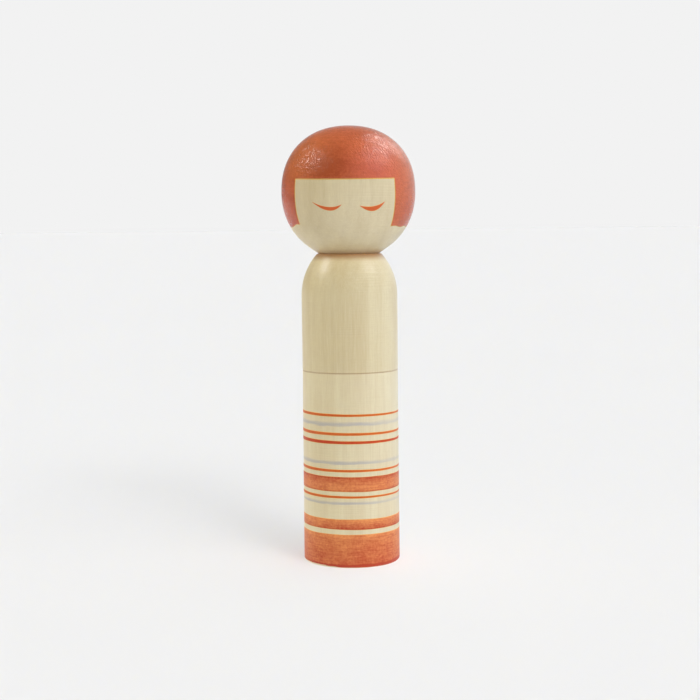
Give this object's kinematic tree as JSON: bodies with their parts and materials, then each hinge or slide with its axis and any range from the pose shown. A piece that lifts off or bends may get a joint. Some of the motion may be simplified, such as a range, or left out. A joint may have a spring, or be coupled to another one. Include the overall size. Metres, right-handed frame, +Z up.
{
  "type": "kokeshi doll",
  "caption": "Slim turned wooden kokeshi doll with bobbed red hair, closed eyes and red, orange and grey rings; its body lifts apart over a storage well and its head turns.",
  "frame": {"origin": "centre of the foot, on the surface the doll stands on", "axes": "+Z up along the doll's own lathe axis; the painted face looks along -Y, and +X is to the right of someone looking at the face"},
  "size_m": [0.0459, 0.0458, 0.15],
  "materials": {
    "body_wood": "pale close-grained turned wood, painted with rings under a thin wax",
    "head_wood": "pale close-grained turned wood, painted hair and eyes under a thin wax",
    "dowel_wood": "bare birch dowel",
    "red_paint": "thin red paint on wood, brushed on and waxed to a low gloss",
    "orange_paint": "thin orange paint on wood, brushed on, matt",
    "grey_paint": "thin grey wash on wood with soft edges, matt"
  },
  "bodies": {
    "lower": {"lower_body": "body_wood"},
    "upper": {"upper_body": "body_wood"},
    "head": {"head": "head_wood", "neck_dowel": "dowel_wood"}
  },
  "joints": [
    {"name": "body_open", "type": "slide", "parent": "lower", "child": "upper", "axis": [0, 0, 1], "range_m": [0, 0.06]},
    {"name": "head_turn", "type": "hinge", "parent": "upper", "child": "head", "pos_m": [0, 0, 0.1064], "axis": [0, 0, 1], "continuous": true}
  ]
}
